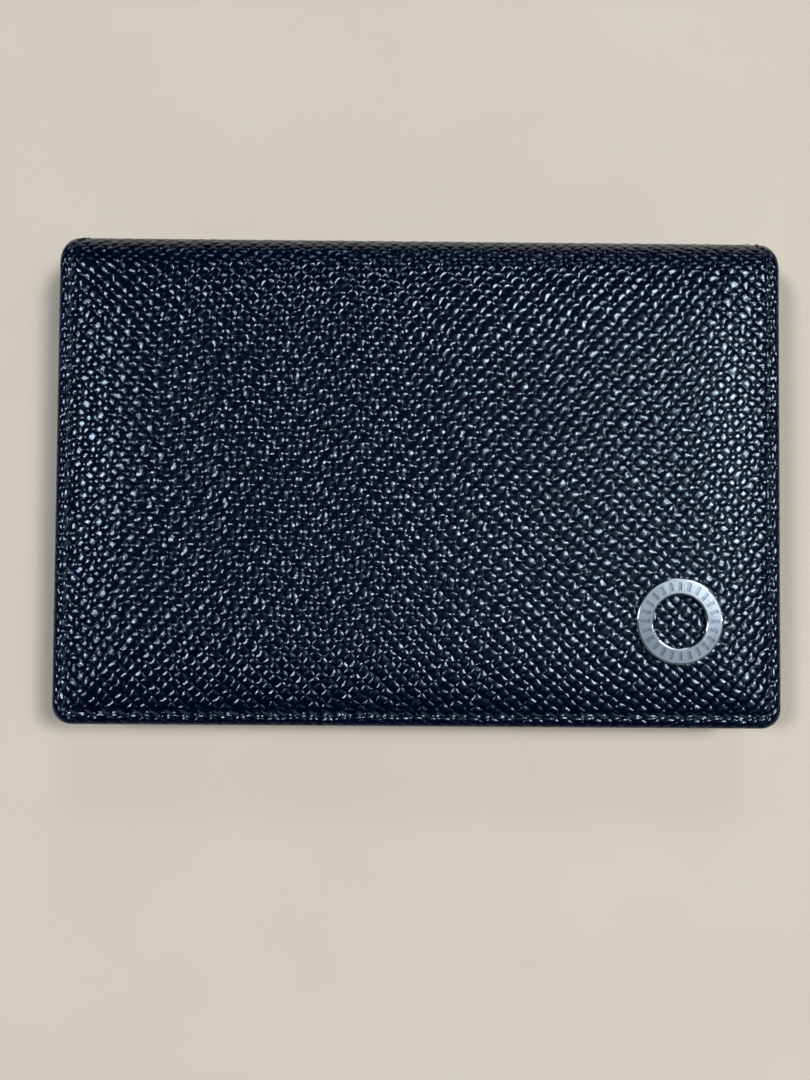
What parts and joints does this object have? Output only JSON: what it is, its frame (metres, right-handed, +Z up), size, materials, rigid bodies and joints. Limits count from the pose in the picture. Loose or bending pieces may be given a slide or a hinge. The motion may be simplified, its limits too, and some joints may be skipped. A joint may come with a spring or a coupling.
{
  "type": "business card case",
  "caption": "Folding leather business card case with a gusseted card pocket, card slots, edge stitching and a metal ring emblem on the flap",
  "frame": {"origin": "centre of the case's outline, on the surface that the closed case lies on", "axes": "+X along the spine to the right as seen from above with the spine away from the viewer, +Y from the free edge to the spine, +Z up through the flap"},
  "size_m": [0.11, 0.075, 0.0153],
  "materials": {
    "cover_leather": "pebbled grain, semi-gloss, near-black navy",
    "inner_leather": "smooth, low sheen",
    "textile_lining": "fine twill weave",
    "board": "pressed board",
    "thread": "twisted thread",
    "emblem_metal": "polished",
    "washer_metal": "plain"
  },
  "bodies": {
    "back": {"back_cover_leather": "cover_leather", "back_stiffener": "board", "back_lining": "textile_lining", "back_spine_lining_tab": "inner_leather", "pocket_gusset": "inner_leather", "back_outer_stitches": "thread", "back_inner_stitches": "thread", "lower_fold_leather": "cover_leather", "lower_fold_lining": "inner_leather", "lower_fold_stitches": "thread"},
    "spine": {"spine_leather": "cover_leather", "spine_lining_middle": "inner_leather", "spine_stitches": "thread", "upper_fold_leather": "cover_leather", "upper_fold_lining": "inner_leather", "upper_fold_stitches": "thread"},
    "pocket": {"pocket_front_panel": "inner_leather", "pocket_front_lining": "textile_lining", "pocket_slot_panel": "inner_leather", "pocket_front_stitches": "thread", "pocket_mouth_stitches": "thread"},
    "flap": {"flap_cover_leather": "cover_leather", "flap_stiffener": "board", "flap_lining": "textile_lining", "flap_spine_lining_tab": "inner_leather", "flap_slip_panel": "inner_leather", "flap_slot_panel": "inner_leather", "flap_outer_stitches": "thread", "flap_inner_stitches": "thread", "emblem_ring": "emblem_metal", "emblem_backing_washer": "washer_metal"}
  },
  "joints": [
    {"name": "spine_hinge", "type": "hinge", "parent": "back", "child": "spine", "pos_m": [0, 0.03568, 0.00182], "axis": [-1, 0, 0], "range_deg": [0, 85], "deforming": ["lower_fold_leather", "lower_fold_lining", "lower_fold_stitches"]},
    {"name": "flap_hinge", "type": "hinge", "parent": "spine", "child": "flap", "pos_m": [0, 0.03568, 0.01168], "axis": [-1, 0, 0], "range_deg": [0, 93.5], "deforming": ["upper_fold_leather", "upper_fold_lining", "upper_fold_stitches"]},
    {"name": "pocket_hinge", "type": "hinge", "parent": "back", "child": "pocket", "pos_m": [0, -0.036, 0.0079], "axis": [1, 0, 0], "range_deg": [0, 7.65], "deforming": ["pocket_gusset"]}
  ],
  "couplings": [
    {"joint": "flap_hinge", "follows": "spine_hinge", "ratio": 1.1},
    {"joint": "pocket_hinge", "follows": "spine_hinge", "ratio": 0.09}
  ]
}
